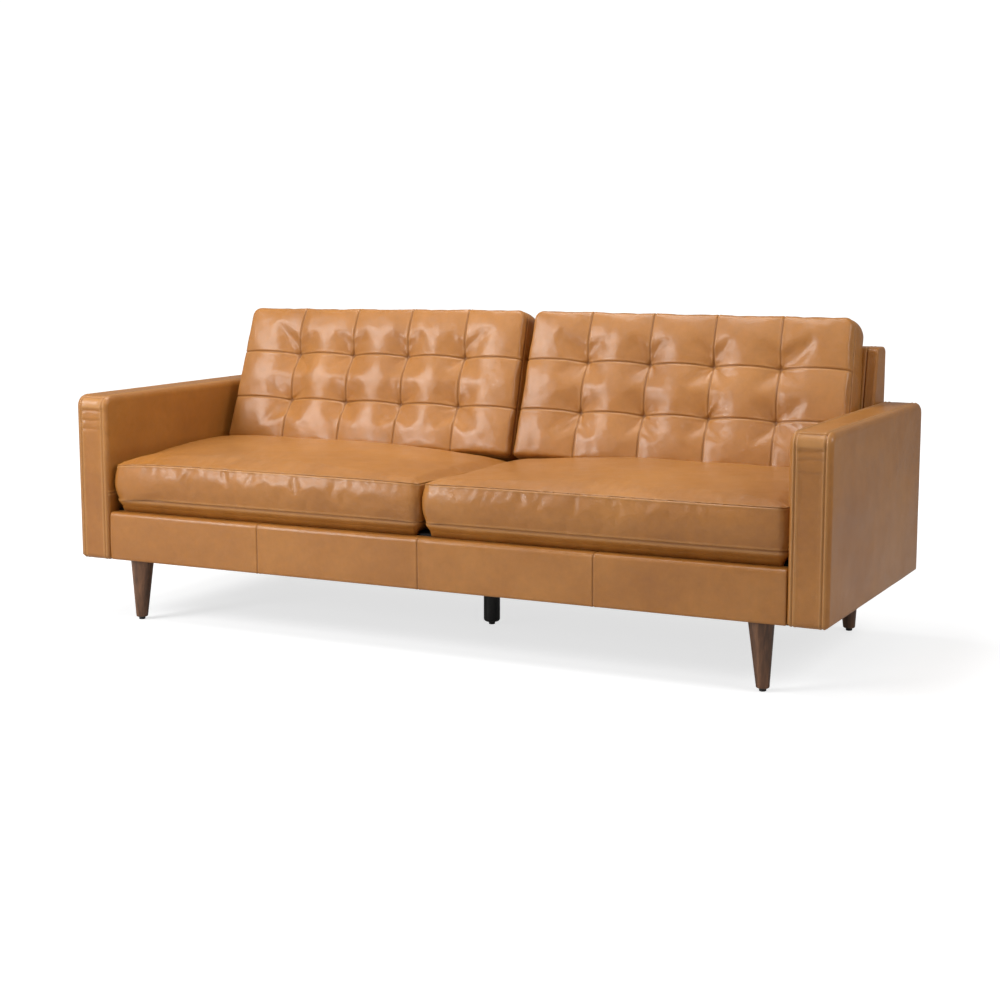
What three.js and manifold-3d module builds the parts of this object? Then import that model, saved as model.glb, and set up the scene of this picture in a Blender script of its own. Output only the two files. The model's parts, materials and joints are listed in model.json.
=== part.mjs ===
// A two-cushion sofa on turned legs: timber frame, webbing, leather covers and loose cushions.
// Units are millimetres, +Z is up and the front faces -Y. The origin is on the floor, under the
// middle of the rectangle that the two arms and the front and rear faces make.

import * as THREE from 'three';
import { mergeVertices } from 'three/addons/utils/BufferGeometryUtils.js';
import Module from 'manifold-3d';

const wasm = await Module();
wasm.setup();

// Overall sizes
const overallWidth = 2184;
const armDepth = 840;
const armHeight = 633;
const armWidth = 100;
const undersideHeight = 174;
const backHeight = 785;

// Clearances
const gap = 0.3; // between pieces that touch
const sideGap = 0.5; // between an arm and what is fitted between the arms
const cushionSideGap = 1.5; // from a seat cushion to an arm
const cushionRestGap = 0.5; // under and behind the loose cushions

// Timber
const boardThickness = 25;
const postDepth = 45;
const topRailThickness = 25;
const endRailHeight = 90;
const stretcherWidth = 45;
const stretcherHeight = 80;
const blockLength = 120;
const blockDepth = 85;
const blockHeight = 40;
const backPostThickness = 30;

// Leather with its padding
const coverWall = 10;
const armPadding = 12;
const armCornerRadius = 28;
const armEdgeRadius = 8;
const railCoverHeight = 136;
const railCoverLip = 45;
const railCoverRadius = 12;

// Raked back
const backTopDepth = 80;
const backRake = 0.2; // run over rise of its front face
const backCornerRadius = 20;
const backEdgeRadius = 6;

// Suspension and deck
const strapCount = 8;
const strapWidth = 70;
const strapThickness = 1.7;
const deckThickness = 14;
const dustClothThickness = 1.2;

// Legs and their fittings
const legTopRadius = 32.5;
const legFootRadius = 16.5;
const legFootRounding = 2;
const legSplay = 7; // the foot is this much further out than the top
const legInsetSide = 176; // from the arm's outer face to the middle of the leg's top
const legInsetFront = 46;
const legInsetRear = 44;
const glideHeight = 8;
const glideRadius = 9;
const glideRounding = 1.5;
const centreLegRadius = 23;
const centreLegRounding = 8;
const centreLegY = 10;
const plateSize = 62;
const plateThickness = 2.2;
const boltRadius = 4;
const boltInLeg = 45;
const boltInBlock = 34;

// Seat cushions
const seatFrontInset = 4;
const seatRearGap = 5;
const seatHeight = 140;
const seatCrown = 31;
const seatRearDrop = 17; // the rear edge is this much lower than the front edge
const seatCrownToBack = 228; // from the top of the crown to the foot of the back cushion
const seatCrownFlat = 160; // how far the crown stays nearly level behind its top
const seatHalfSplit = 1;
const seatEdgeRadius = 22;
const seatEndRadius = 12;

// Back cushions
const backCushionHeight = 410; // of the front face, above its foot
const backCushionRearDrop = 44; // the rear top edge is this much lower than the front one
const backCushionThickness = 148; // at the foot
const backCushionFootRise = 11.5; // from the seat cushion's edge up to the foot
const backCushionHeelDrop = 14.5; // from the seat cushion's edge down to the lower rear edge
const backCushionRake = 0.333; // run over rise of the front face
const backCushionHalfSplit = 4;
const backCushionEndInset = 24;
const backCushionEdgeRadius = 26;
const backCushionEndRadius = 10;

// Cushion covers
const cushionCoverWall = 4;
const zipHeight = 5;
const zipEndInset = 120;

// Positions that follow from those sizes
const armOuterX = overallWidth / 2;
const armInnerX = armOuterX - armWidth;
const frontY = -armDepth / 2;
const rearY = armDepth / 2;
const cavityInnerX = armInnerX + armPadding;
const cavityOuterX = armOuterX - armPadding;
const postInnerX = cavityInnerX + gap;
const postOuterX = cavityOuterX - gap;
const timberBottom = undersideHeight + dustClothThickness + gap + plateThickness + gap;
const deckBottom = undersideHeight + railCoverHeight - coverWall;
const strapTop = deckBottom - gap;
const railTop = strapTop - strapThickness - gap;
const deckTop = deckBottom + deckThickness;
const seatBottom = deckTop + cushionRestGap;
const seatEdgeTop = seatBottom + seatHeight;
const railFrontY = frontY + coverWall + gap;
const railRearY = rearY - coverWall - gap;
const legX = armOuterX - legInsetSide;
const legTop = undersideHeight - gap;
const legBottom = glideHeight + gap;
const legCentres = [
  { name: 'front_left', x: -legX, y: frontY + legInsetFront },
  { name: 'front_right', x: legX, y: frontY + legInsetFront },
  { name: 'rear_left', x: -legX, y: rearY - legInsetRear },
  { name: 'rear_right', x: legX, y: rearY - legInsetRear },
];

const material = (color, roughness, metalness = 0) =>
  new THREE.MeshStandardMaterial({ color, roughness, metalness });
const leather = material(0xa8682f, 0.42);
const foam = material(0xe8dcc0, 0.9);
const timber = material(0xc8a878, 0.75);
const walnut = material(0x5a3220, 0.4);
const blackPlastic = material(0x161412, 0.5);
const blackPaint = material(0x1c1917, 0.45);
const steel = material(0xa8a8a8, 0.35, 1);
const webbing = material(0x6a5a48, 0.9);
const cloth = material(0x24211f, 0.95);

const sofa = new THREE.Group();

function add(name, geometry, itsMaterial) {
  const mesh = new THREE.Mesh(geometry, itsMaterial);
  mesh.name = name;
  sofa.add(mesh);
}

// Booleans

function toSolid(geometry) {
  const bare = geometry.clone();
  bare.deleteAttribute('normal');
  bare.deleteAttribute('uv');
  const merged = mergeVertices(bare, 1e-4);
  return new wasm.Manifold(
    new wasm.Mesh({
      numProp: 3,
      vertProperties: new Float32Array(merged.attributes.position.array),
      triVerts: new Uint32Array(merged.index.array),
    }),
  );
}

function toGeometry(solid) {
  const mesh = solid.getMesh();
  const geometry = new THREE.BufferGeometry();
  geometry.setAttribute('position', new THREE.BufferAttribute(mesh.vertProperties, 3));
  geometry.setIndex(new THREE.BufferAttribute(mesh.triVerts, 1));
  geometry.computeVertexNormals();
  return geometry;
}

function cut(geometry, ...tools) {
  let solid = toSolid(geometry);
  for (const tool of tools) {
    solid = solid.subtract(toSolid(tool));
  }
  return toGeometry(solid);
}

// Shapes

function box([x0, x1], [y0, y1], [z0, z1]) {
  const geometry = new THREE.BoxGeometry(x1 - x0, y1 - y0, z1 - z0);
  return geometry.translate((x0 + x1) / 2, (y0 + y1) / 2, (z0 + z1) / 2);
}

function uprightCylinder(radius, x, y, [z0, z1], sides = 24) {
  const geometry = new THREE.CylinderGeometry(radius, radius, z1 - z0, sides);
  return geometry.rotateX(Math.PI / 2).translate(x, y, (z0 + z1) / 2);
}

// A turned shape: pairs of radius and height, from the lower centre to the upper centre
function turned(profile, sides = 32) {
  const points = profile.map(([radius, height]) => new THREE.Vector2(radius, height));
  return new THREE.LatheGeometry(points, sides).rotateX(Math.PI / 2);
}

// An outline of corners [y, z, radius], each rounded by its radius
function roundedOutline(corners) {
  const shape = new THREE.Shape();
  corners.forEach(([y, z, radius = 0], index) => {
    const corner = new THREE.Vector2(y, z);
    const before = corners[(index + corners.length - 1) % corners.length];
    const after = corners[(index + 1) % corners.length];
    const towards = ([toY, toZ]) => new THREE.Vector2(toY, toZ).sub(corner).normalize();
    const start = corner.clone().addScaledVector(towards(before), radius);
    const end = corner.clone().addScaledVector(towards(after), radius);
    if (index === 0) {
      shape.moveTo(start.x, start.y);
    } else {
      shape.lineTo(start.x, start.y);
    }
    if (radius > 0) {
      shape.quadraticCurveTo(corner.x, corner.y, end.x, end.y);
    }
  });
  shape.closePath();
  return shape;
}

// Extrudes an outline in Y and Z along X. The ends are rounded, and inset shrinks it all round.
function extrudeAlongX(shape, [x0, x1], { endRadius = 0, inset = 0, endSteps = 2 } = {}) {
  const radius = Math.max(endRadius - inset, 0);
  const geometry = new THREE.ExtrudeGeometry(shape, {
    depth: x1 - x0 - 2 * radius - 2 * inset,
    curveSegments: 5,
    bevelEnabled: endRadius > 0,
    bevelThickness: radius,
    bevelSize: radius,
    bevelOffset: -radius - inset,
    bevelSegments: endSteps,
  });
  const turn = new THREE.Matrix4().makeBasis(
    new THREE.Vector3(0, 1, 0),
    new THREE.Vector3(0, 0, 1),
    new THREE.Vector3(1, 0, 0),
  );
  return geometry.applyMatrix4(turn).translate(x0 + radius + inset, 0, 0);
}

// An interval of X, mirrored for the left-hand side
const onSide = (side, [x0, x1]) => (side > 0 ? [x0, x1] : [-x1, -x0]);
const sides = [
  { name: 'left', sign: -1 },
  { name: 'right', sign: 1 },
];

// Front face of the raked back at a height
const backFaceY = (z) => rearY - backTopDepth - backRake * (backHeight - z);

// Lower front edge of the back cushions, which rest on the seat cushions
const backFoot = seatEdgeTop + backCushionFootRise;
const backFootY = backFaceY(backFoot) - backCushionThickness;

// Holes for the bolts that hold the legs
const boltHoles = legCentres.map(({ x, y }) =>
  uprightCylinder(boltRadius + gap, x, y, [timberBottom - 10, timberBottom + blockHeight + 10]),
);
const centreBoltHole = uprightCylinder(
  boltRadius + gap,
  0,
  centreLegY,
  [timberBottom - 10, timberBottom + boltInBlock + 2],
);

// Base frame

function baseFrame() {
  const railX = postInnerX - gap;
  const railZ = [timberBottom, railTop];
  const frontRail = box([-railX, railX], [railFrontY, railFrontY + boardThickness], railZ);
  const backRail = box([-railX, railX], [railRearY - boardThickness, railRearY], railZ);
  add('front_rail', cut(frontRail, ...boltHoles), timber);
  add('back_rail', cut(backRail, ...boltHoles), timber);

  const innerFrontY = railFrontY + boardThickness + gap;
  const innerRearY = railRearY - boardThickness - gap;
  const stretcher = box(
    [-stretcherWidth / 2, stretcherWidth / 2],
    [innerFrontY, innerRearY],
    [timberBottom, timberBottom + stretcherHeight],
  );
  add('centre_stretcher', cut(stretcher, centreBoltHole), timber);

  for (const { name, x, y } of legCentres) {
    const blockX = onSide(x, [railX - blockLength, railX]);
    const blockY = y < 0 ? [innerFrontY, innerFrontY + blockDepth] : [innerRearY - blockDepth, innerRearY];
    const block = box(blockX, blockY, [timberBottom, timberBottom + blockHeight]);
    add(`corner_block_${name}`, cut(block, ...boltHoles), timber);
  }
}

// Arms: a timber frame inside a padded leather cover

function armFrame({ name, sign }) {
  const x = onSide(sign, [postInnerX, postOuterX]);
  const frameFrontY = frontY + armPadding + gap;
  const frameRearY = rearY - armPadding - gap;
  const frameTop = armHeight - armPadding - gap;
  const postZ = [timberBottom, frameTop - topRailThickness - gap];
  add(`arm_front_post_${name}`, box(x, [frameFrontY, frameFrontY + postDepth], postZ), timber);
  add(`arm_rear_post_${name}`, box(x, [frameRearY - postDepth, frameRearY], postZ), timber);
  const topRailZ = [frameTop - topRailThickness, frameTop];
  add(`arm_top_rail_${name}`, box(x, [frameFrontY, frameRearY], topRailZ), timber);
  const endRailY = [frameFrontY + postDepth + gap, frameRearY - postDepth - gap];
  const endRailZ = [timberBottom, timberBottom + endRailHeight];
  add(`end_rail_${name}`, box(x, endRailY, endRailZ), timber);
}

function armCover({ name, sign }) {
  const outline = roundedOutline([
    [frontY, undersideHeight],
    [rearY, undersideHeight],
    [rearY, armHeight, armCornerRadius],
    [frontY, armHeight, armCornerRadius],
  ]);
  const outer = extrudeAlongX(outline, onSide(sign, [armInnerX, armOuterX]), { endRadius: armEdgeRadius });
  const below = undersideHeight - 1;
  const cavity = box(
    onSide(sign, [cavityInnerX, cavityOuterX]),
    [frontY + armPadding, rearY - armPadding],
    [below, armHeight - armPadding],
  );
  // the inner wall stops at the deck, where the rails pass into the arm
  const railWay = box(
    onSide(sign, [armInnerX - 1, cavityInnerX + 1]),
    [frontY + coverWall, rearY - coverWall],
    [below, deckBottom],
  );
  add(`arm_cover_${name}`, cut(outer, cavity, railWay), leather);
}

// Raked back: top rail, posts and a padded cover that is open downwards

function backFrame() {
  const insideX = armInnerX - sideGap - coverWall;
  const slopeWall = coverWall * Math.hypot(1, backRake);
  const innerFaceY = (z) => backFaceY(z) + slopeWall;
  const innerTop = backHeight - coverWall;

  const outline = roundedOutline([
    [rearY, undersideHeight],
    [rearY, backHeight, backCornerRadius],
    [backFaceY(backHeight), backHeight, coverWall],
    [backFaceY(deckBottom), deckBottom],
    [rearY - coverWall, deckBottom],
    [rearY - coverWall, undersideHeight],
  ]);
  const outerX = armInnerX - sideGap;
  const endRadius = Math.min(backEdgeRadius, 0.4 * coverWall);
  const outer = extrudeAlongX(outline, [-outerX, outerX], { endRadius });
  const cavityOutline = roundedOutline([
    [rearY - coverWall, deckBottom - 1],
    [rearY - coverWall, innerTop],
    [innerFaceY(innerTop), innerTop],
    [innerFaceY(deckBottom - 1), deckBottom - 1],
  ]);
  add('back_cover', cut(outer, extrudeAlongX(cavityOutline, [-insideX, insideX])), leather);

  const railBottom = innerTop - gap - backPostThickness;
  add(
    'back_top_rail',
    box(
      [-insideX + gap, insideX - gap],
      [innerFaceY(innerTop) + gap, railRearY],
      [railBottom, innerTop - gap],
    ),
    timber,
  );
  const postBottom = railTop + gap;
  const postTop = railBottom - gap;
  const postOutline = roundedOutline([
    [railRearY, postBottom],
    [railRearY, postTop],
    [innerFaceY(postTop) + gap, postTop],
    [innerFaceY(postBottom) + gap, postBottom],
  ]);
  for (const { name, sign } of sides) {
    const postX = onSide(sign, [insideX - gap - backPostThickness, insideX - gap]);
    add(`back_post_${name}`, extrudeAlongX(postOutline, postX), timber);
  }
  const centreX = [-backPostThickness / 2, backPostThickness / 2];
  add('back_post_centre', extrudeAlongX(postOutline, centreX), timber);
}

// Front rail cover: the front face and a lip over the edge of the deck

function frontRailCover() {
  const outline = roundedOutline([
    [frontY, undersideHeight],
    [frontY + coverWall, undersideHeight],
    [frontY + coverWall, deckBottom],
    [frontY + railCoverLip, deckBottom],
    [frontY + railCoverLip, deckBottom + coverWall, 4],
    [frontY, deckBottom + coverWall, railCoverRadius],
  ]);
  const coverX = armInnerX - sideGap;
  add('front_rail_cover', extrudeAlongX(outline, [-coverX, coverX]), leather);
}

// Suspension, deck and dust cloth

function suspension() {
  const pitch = (2 * armInnerX) / strapCount;
  for (let index = 0; index < strapCount; index += 1) {
    const middle = (index - (strapCount - 1) / 2) * pitch;
    const strap = box(
      [middle - strapWidth / 2, middle + strapWidth / 2],
      [railFrontY, railRearY],
      [railTop + gap, strapTop],
    );
    add(`webbing_strap_${index + 1}`, strap, webbing);
  }

  const deckX = armInnerX - sideGap;
  const deckY = [frontY + railCoverLip + sideGap, backFaceY(deckBottom) - sideGap];
  add('seat_deck', box([-deckX, deckX], deckY, [deckBottom, deckTop]), cloth);

  const clothX = cavityOuterX - sideGap;
  const clothY = [frontY + armPadding + sideGap, rearY - armPadding - sideGap];
  const dustCloth = box([-clothX, clothX], clothY, [undersideHeight, undersideHeight + dustClothThickness]);
  add('dust_cloth', cut(dustCloth, ...boltHoles, centreBoltHole), cloth);
}

// Legs, their steel plates, bolts and glides

function glide(name, x, y) {
  const shape = turned(
    [
      [0, 0],
      [glideRadius - glideRounding, 0],
      [glideRadius, glideRounding],
      [glideRadius, glideHeight],
      [0, glideHeight],
    ],
    24,
  );
  add(`glide_${name}`, shape.translate(x, y, 0), blackPlastic);
}

function leg({ name, x, y }) {
  const side = Math.sign(x);
  const height = legTop - legBottom;
  const blank = turned([
    [0, legBottom],
    [legFootRadius - legFootRounding, legBottom],
    [legFootRadius, legBottom + legFootRounding],
    [legTopRadius, legTop],
    [0, legTop],
  ]);
  // a shear splays the leg and keeps its ends level
  const splay = new THREE.Matrix4().makeShear(0, 0, 0, 0, (-side * legSplay) / height, 0);
  splay.setPosition((side * legSplay * legTop) / height + x, y, 0);
  const hole = uprightCylinder(boltRadius + gap, x, y, [legTop - boltInLeg, legTop + 10]);
  add(`leg_${name}`, cut(blank.applyMatrix4(splay), hole), walnut);
  glide(name, x + side * legSplay, y);

  const plateBottom = timberBottom - gap - plateThickness;
  const plate = box(
    [x - plateSize / 2, x + plateSize / 2],
    [y - plateSize / 2, y + plateSize / 2],
    [plateBottom, plateBottom + plateThickness],
  );
  add(`leg_plate_${name}`, cut(plate, ...boltHoles), steel);
  const boltZ = [legTop - boltInLeg + 1, timberBottom + boltInBlock];
  add(`leg_bolt_${name}`, uprightCylinder(boltRadius, x, y, boltZ), steel);
}

function centreLeg() {
  const rounding = [];
  const steps = 4;
  for (let step = 0; step <= steps; step += 1) {
    const angle = (step / steps) * (Math.PI / 2);
    rounding.push([
      centreLegRadius - centreLegRounding * (1 - Math.sin(angle)),
      legBottom + centreLegRounding * (1 - Math.cos(angle)),
    ]);
  }
  const post = turned([[0, legBottom], ...rounding, [centreLegRadius, legTop], [0, legTop]]);
  const hole = uprightCylinder(boltRadius + gap, 0, 0, [legTop - boltInLeg, legTop + 10]);
  add('centre_leg', cut(post, hole).translate(0, centreLegY, 0), blackPaint);
  glide('centre', 0, centreLegY);
  const boltZ = [legTop - boltInLeg + 1, timberBottom + boltInBlock];
  add('centre_leg_bolt', uprightCylinder(boltRadius, 0, centreLegY, boltZ), steel);
}

// Loose cushions: a foam core in a leather cover, which is open along its zip

function cushion(name, outline, x, endRadius, zipZ, zipY) {
  const outer = extrudeAlongX(outline, x, { endRadius });
  const hollow = extrudeAlongX(outline, x, { endRadius, inset: cushionCoverWall });
  const core = extrudeAlongX(outline, x, { endRadius, inset: cushionCoverWall + gap });
  const zip = box(
    [x[0] + zipEndInset, x[1] - zipEndInset],
    zipY,
    [zipZ - zipHeight / 2, zipZ + zipHeight / 2],
  );
  add(`${name}_cover`, cut(outer, hollow, zip), leather);
  add(`${name}_core`, core, foam);
}

function seatCushions() {
  const bottom = seatBottom;
  const front = frontY + seatFrontInset;
  const rear = backFaceY(bottom) - seatRearGap;
  const edgeTop = seatEdgeTop;
  const crownTop = edgeTop + seatCrown;
  const crownY = backFootY - seatCrownToBack;
  const outline = new THREE.Shape();
  outline.moveTo(front + seatEdgeRadius, bottom);
  outline.quadraticCurveTo(front, bottom, front, bottom + seatEdgeRadius);
  outline.lineTo(front, edgeTop - seatEdgeRadius);
  outline.quadraticCurveTo(front, edgeTop, front + seatEdgeRadius, edgeTop);
  outline.quadraticCurveTo(front + (crownY - front) / 3, crownTop, crownY, crownTop);
  outline.quadraticCurveTo(crownY + seatCrownFlat, crownTop, rear, edgeTop - seatRearDrop);
  outline.lineTo(rear, bottom);
  outline.closePath();
  for (const { name, sign } of sides) {
    const x = onSide(sign, [seatHalfSplit, armInnerX - cushionSideGap]);
    const zipY = [rear - 2 * cushionCoverWall, rear + 2 * cushionCoverWall];
    cushion(`seat_cushion_${name}`, outline, x, seatEndRadius, bottom + seatHeight / 2, zipY);
  }
}

function backCushions() {
  const heel = seatEdgeTop - backCushionHeelDrop;
  const top = backFoot + backCushionHeight;
  const rearTop = top - backCushionRearDrop;
  const cushionFrontY = (z) => backFootY + backCushionRake * (z - backFoot);
  const cushionRearY = (z) => backFaceY(z) - 2 * cushionRestGap;
  const outline = roundedOutline([
    [backFootY, backFoot, backCushionEdgeRadius],
    [cushionRearY(heel), heel, backCushionEdgeRadius],
    [cushionRearY(rearTop), rearTop, backCushionEdgeRadius],
    [cushionFrontY(top), top, backCushionEdgeRadius],
  ]);
  const zipZ = (heel + rearTop) / 2;
  const zipY = [cushionRearY(zipZ) - 2 * cushionCoverWall, cushionRearY(zipZ) + 2 * cushionCoverWall];
  for (const { name, sign } of sides) {
    const x = onSide(sign, [backCushionHalfSplit, armInnerX - backCushionEndInset]);
    cushion(`back_cushion_${name}`, outline, x, backCushionEndRadius, zipZ, zipY);
  }
}

baseFrame();
for (const side of sides) {
  armFrame(side);
  armCover(side);
}
backFrame();
frontRailCover();
suspension();
for (const centre of legCentres) {
  leg(centre);
}
centreLeg();
seatCushions();
backCushions();

export default sofa;
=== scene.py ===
"""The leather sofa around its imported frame: upholstery, cushions, materials, light and camera."""

import json
import math

import bpy
import numpy as np
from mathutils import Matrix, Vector


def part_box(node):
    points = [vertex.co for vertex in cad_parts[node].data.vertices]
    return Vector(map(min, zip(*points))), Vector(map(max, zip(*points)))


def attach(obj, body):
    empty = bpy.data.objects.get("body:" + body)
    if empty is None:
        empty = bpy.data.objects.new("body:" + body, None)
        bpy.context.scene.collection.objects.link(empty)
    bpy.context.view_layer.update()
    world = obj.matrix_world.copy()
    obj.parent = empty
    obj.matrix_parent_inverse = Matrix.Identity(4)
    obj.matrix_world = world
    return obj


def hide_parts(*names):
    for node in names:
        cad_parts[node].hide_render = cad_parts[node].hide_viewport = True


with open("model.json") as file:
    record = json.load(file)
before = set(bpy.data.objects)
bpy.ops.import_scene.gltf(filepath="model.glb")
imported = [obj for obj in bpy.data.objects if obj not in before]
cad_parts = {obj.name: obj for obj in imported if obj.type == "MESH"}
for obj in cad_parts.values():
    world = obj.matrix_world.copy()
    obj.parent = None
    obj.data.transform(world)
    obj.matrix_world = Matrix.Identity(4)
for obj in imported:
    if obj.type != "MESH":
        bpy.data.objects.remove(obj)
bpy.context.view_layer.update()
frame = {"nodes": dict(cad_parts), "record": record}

MM = 0.001

# ---------------------------------------------------------------- camera, floor and light

CAMERA_PLACE = (2.268, -4.490, 1.101)
CAMERA_YAW = 26.49  # degrees to the left of +Y
CAMERA_PITCH = 8.45  # degrees downwards
CAMERA_LENS = 65.8
SENSOR_WIDTH = 36.0

BACKDROP_SEEN, BACKDROP_GLOW = 1.05, 0.24  # to the camera, and as a light on the sofa
FLOOR_SHADE = 0.46
FLOOR_GLOW = 0.09  # as a light on the sofa
FLOOR_SEEN_NEAR, FLOOR_SEEN_FAR = 0.70, 1.0  # to the camera, at these distances from the middle
FLOOR_NEAR, FLOOR_FAR = 1.3, 3.2
FLOOR_REACH = 30


def make_camera():
    camera = bpy.data.objects.new("camera", bpy.data.cameras.new("camera"))
    camera.data.lens = CAMERA_LENS
    camera.data.sensor_width = SENSOR_WIDTH
    camera.location = CAMERA_PLACE
    camera.rotation_euler = (math.radians(90 - CAMERA_PITCH), 0, math.radians(CAMERA_YAW))
    bpy.context.collection.objects.link(camera)
    bpy.context.scene.camera = camera


make_camera()


def area_light(name, place, target, size, power):
    """An elliptical lamp at a place, aimed at a target."""
    data = bpy.data.lights.new(name, "AREA")
    data.shape = "ELLIPSE"
    data.size, data.size_y = size
    data.energy = power
    light = bpy.data.objects.new(name, data)
    light.location = place
    aim = Vector(target) - Vector(place)
    light.rotation_euler = aim.to_track_quat("-Z", "Y").to_euler()
    bpy.context.collection.objects.link(light)


def make_light():
    world = bpy.data.worlds.new("studio")
    world.use_nodes = True
    background = world.node_tree.nodes["Background"]
    background.inputs["Color"].default_value = (1, 1, 1, 1)
    # the backdrop is white to the camera, and dimmer as a light on the sofa
    rays = world.node_tree.nodes.new("ShaderNodeLightPath")
    level = world.node_tree.nodes.new("ShaderNodeMapRange")
    level.inputs["To Min"].default_value = BACKDROP_GLOW
    level.inputs["To Max"].default_value = BACKDROP_SEEN
    world.node_tree.links.new(rays.outputs["Is Camera Ray"], level.inputs["Value"])
    world.node_tree.links.new(level.outputs["Result"], background.inputs["Strength"])
    bpy.context.scene.world = world
    bpy.context.scene.view_settings.view_transform = "Standard"
    area_light("key", (-2.7, -2.9, 2.6), (-0.2, 0, 0.45), (1.9, 1.6), 106)
    area_light("low_key", (-2.2, -3.2, 1.2), (-0.6, -0.3, 0.5), (0.9, 0.8), 36)
    area_light("top", (-0.4, -0.2, 3.2), (0, 0, 0.4), (3.0, 1.6), 74)
    area_light("fill", (3.4, -0.6, 2.5), (0.6, 0, 0.5), (1.6, 1.6), 46)


def make_floor():
    mesh = bpy.data.meshes.new("floor")
    reach = FLOOR_REACH
    corners = [(-reach, -reach, 0), (reach, -reach, 0), (reach, reach, 0), (-reach, reach, 0)]
    mesh.from_pydata(corners, [], [(0, 1, 2, 3)])
    floor = bpy.data.objects.new("floor", mesh)
    bpy.context.collection.objects.link(floor)
    material = bpy.data.materials.new("pale_floor")
    material.use_nodes = True
    tree = material.node_tree
    shader = tree.nodes["Principled BSDF"]
    shader.inputs["Base Color"].default_value = (FLOOR_SHADE, FLOOR_SHADE, FLOOR_SHADE, 1)
    shader.inputs["Roughness"].default_value = 0.6
    shader.inputs["Specular IOR Level"].default_value = 0.2
    shader.inputs["Emission Color"].default_value = (1, 1, 1, 1)
    # lit from within to the camera, as an overexposed studio sweep is, and brighter further out
    place = tree.nodes.new("ShaderNodeTexCoord").outputs["Object"]
    distance = tree.nodes.new("ShaderNodeVectorMath")
    distance.operation = "LENGTH"
    outward = tree.nodes.new("ShaderNodeMapRange")
    outward.inputs["From Min"].default_value = FLOOR_NEAR
    outward.inputs["From Max"].default_value = FLOOR_FAR
    outward.inputs["To Min"].default_value = FLOOR_SEEN_NEAR
    outward.inputs["To Max"].default_value = FLOOR_SEEN_FAR
    rays = tree.nodes.new("ShaderNodeLightPath")
    seen = tree.nodes.new("ShaderNodeMapRange")
    seen.inputs["To Min"].default_value = FLOOR_GLOW
    tree.links.new(place, distance.inputs[0])
    tree.links.new(distance.outputs["Value"], outward.inputs["Value"])
    tree.links.new(outward.outputs["Result"], seen.inputs["To Max"])
    tree.links.new(rays.outputs["Is Camera Ray"], seen.inputs["Value"])
    tree.links.new(seen.outputs["Result"], shader.inputs["Emission Strength"])
    mesh.materials.append(material)


make_light()
make_floor()

# ---------------------------------------------------------------- materials


class Nodes:
    """Short calls for building a node tree."""

    def __init__(self, name):
        self.material = bpy.data.materials.new(name)
        self.material.use_nodes = True
        self.tree = self.material.node_tree
        self.shader = self.tree.nodes["Principled BSDF"]
        self.place = self.add("ShaderNodeTexCoord").outputs["Object"]

    def add(self, kind, **settings):
        node = self.tree.nodes.new(kind)
        for key, value in settings.items():
            setattr(node, key, value)
        return node

    def link(self, output, socket):
        self.tree.links.new(output, socket)

    def stretched(self, scale):
        node = self.add("ShaderNodeMapping")
        node.inputs["Scale"].default_value = scale
        self.link(self.place, node.inputs["Vector"])
        return node.outputs["Vector"]

    def noise(self, scale, detail=2.0, roughness=0.5, distortion=0.0, place=None):
        node = self.add("ShaderNodeTexNoise")
        self.link(place or self.place, node.inputs["Vector"])
        node.inputs["Scale"].default_value = scale
        node.inputs["Detail"].default_value = detail
        node.inputs["Roughness"].default_value = roughness
        node.inputs["Distortion"].default_value = distortion
        return node.outputs["Fac"]

    def cells(self, scale):
        """Distance from the edges of a cell pattern."""
        node = self.add("ShaderNodeTexVoronoi", feature="DISTANCE_TO_EDGE")
        self.link(self.place, node.inputs["Vector"])
        node.inputs["Scale"].default_value = scale
        return node.outputs["Distance"]

    def ramp(self, value, stops):
        """Colours along a value: each stop is a position and a colour."""
        node = self.add("ShaderNodeValToRGB")
        ramp = node.color_ramp
        while len(ramp.elements) < len(stops):
            ramp.elements.new(0.5)
        for element, (position, colour) in zip(ramp.elements, stops):
            element.position = position
            element.color = (*colour, 1)
        self.link(value, node.inputs["Fac"])
        return node.outputs["Color"]

    def span(self, value, low, high, start=0.0, end=1.0):
        """Maps start..end to low..high."""
        node = self.add("ShaderNodeMapRange")
        limits = {"From Min": start, "From Max": end, "To Min": low, "To Max": high}
        for socket, number in limits.items():
            node.inputs[socket].default_value = number
        self.link(value, node.inputs["Value"])
        return node.outputs["Result"]

    def maths(self, operation, a, b):
        node = self.add("ShaderNodeMath", operation=operation)
        for socket, value in zip(node.inputs, (a, b)):
            if isinstance(value, (int, float)):
                socket.default_value = value
            else:
                self.link(value, socket)
        return node.outputs["Value"]

    def mix(self, factor, a, b, blend="MIX"):
        node = self.add("ShaderNodeMix", data_type="RGBA", blend_type=blend)
        for socket, value in ((node.inputs[0], factor), (node.inputs[6], a), (node.inputs[7], b)):
            if isinstance(value, tuple):
                socket.default_value = (*value, 1)
            elif isinstance(value, (int, float)):
                socket.default_value = value
            else:
                self.link(value, socket)
        return node.outputs[2]

    def attribute(self, name):
        return self.add("ShaderNodeAttribute", attribute_name=name).outputs["Fac"]

    def bump(self, height, distance, strength=1.0, under=None):
        node = self.add("ShaderNodeBump")
        node.inputs["Distance"].default_value = distance
        node.inputs["Strength"].default_value = strength
        self.link(height, node.inputs["Height"])
        if under is not None:
            self.link(under, node.inputs["Normal"])
        return node.outputs["Normal"]

    def set(self, **values):
        """Sets or links the shader's own sockets, with _ for a space in their names."""
        for name, value in values.items():
            socket = self.shader.inputs[name.replace("_", " ")]
            if isinstance(value, (int, float, tuple)):
                socket.default_value = value
            else:
                self.link(value, socket)


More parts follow.
